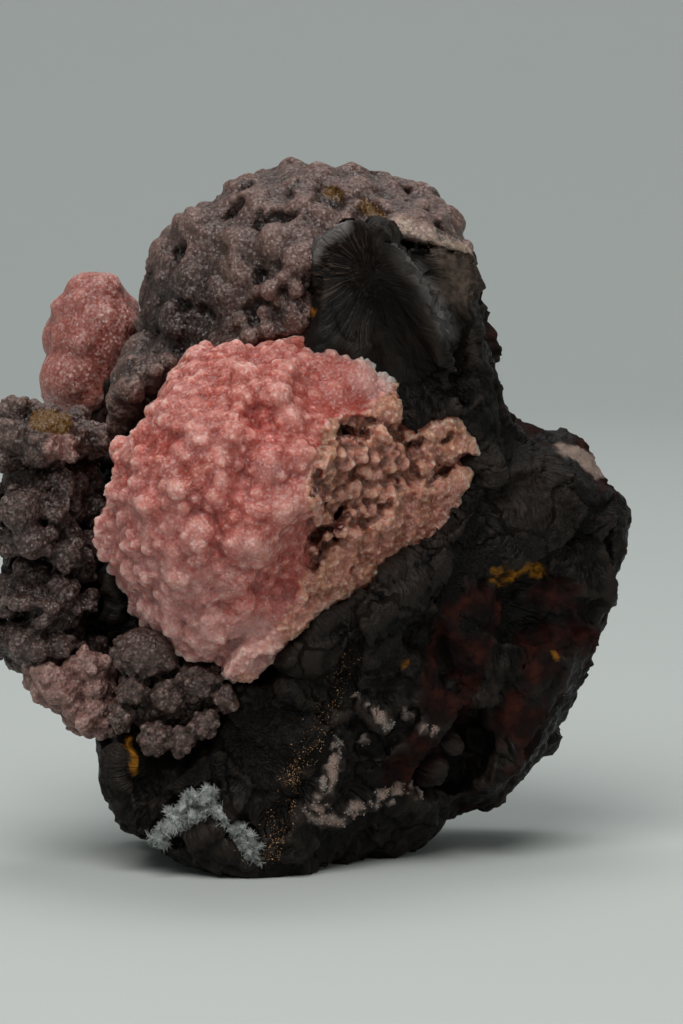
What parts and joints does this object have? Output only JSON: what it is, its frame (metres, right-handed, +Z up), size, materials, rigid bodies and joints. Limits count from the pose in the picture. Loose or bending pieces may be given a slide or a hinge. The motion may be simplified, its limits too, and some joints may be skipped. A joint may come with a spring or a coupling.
{
  "type": "mineral specimen",
  "caption": "Hand specimen with a pink crystalline ball, broken open on one side, and grey-mauve crusts on a black fibrous rock that stands on a flat broken face.",
  "frame": {"origin": "under the middle of the rock, on the flat broken face that the specimen stands on", "axes": "+Z up, -Y out of the side that shows the pink ball, +X to the right of that side"},
  "size_m": [0.0636, 0.0462, 0.0674],
  "materials": {
    "goethite": "black iron oxide rock, silky and fibrous where it broke",
    "pink_crystal": "translucent pink carbonate, sugary with tiny crystal faces",
    "pale_crystal": "pale pinkish carbonate crust",
    "grey_crystal": "grey-mauve carbonate crust, sparkling with tiny crystal faces",
    "white_tuft": "white felt of fine needles"
  },
  "bodies": {
    "root": {"goethite_matrix": "goethite", "pink_ball": "pink_crystal", "back_pink_knob": "pink_crystal", "flank_lump": "pale_crystal", "grey_beads": "grey_crystal", "grey_crust_left": "grey_crystal", "grey_crust_top": "grey_crystal", "white_tuft": "white_tuft"}
  },
  "joints": []
}
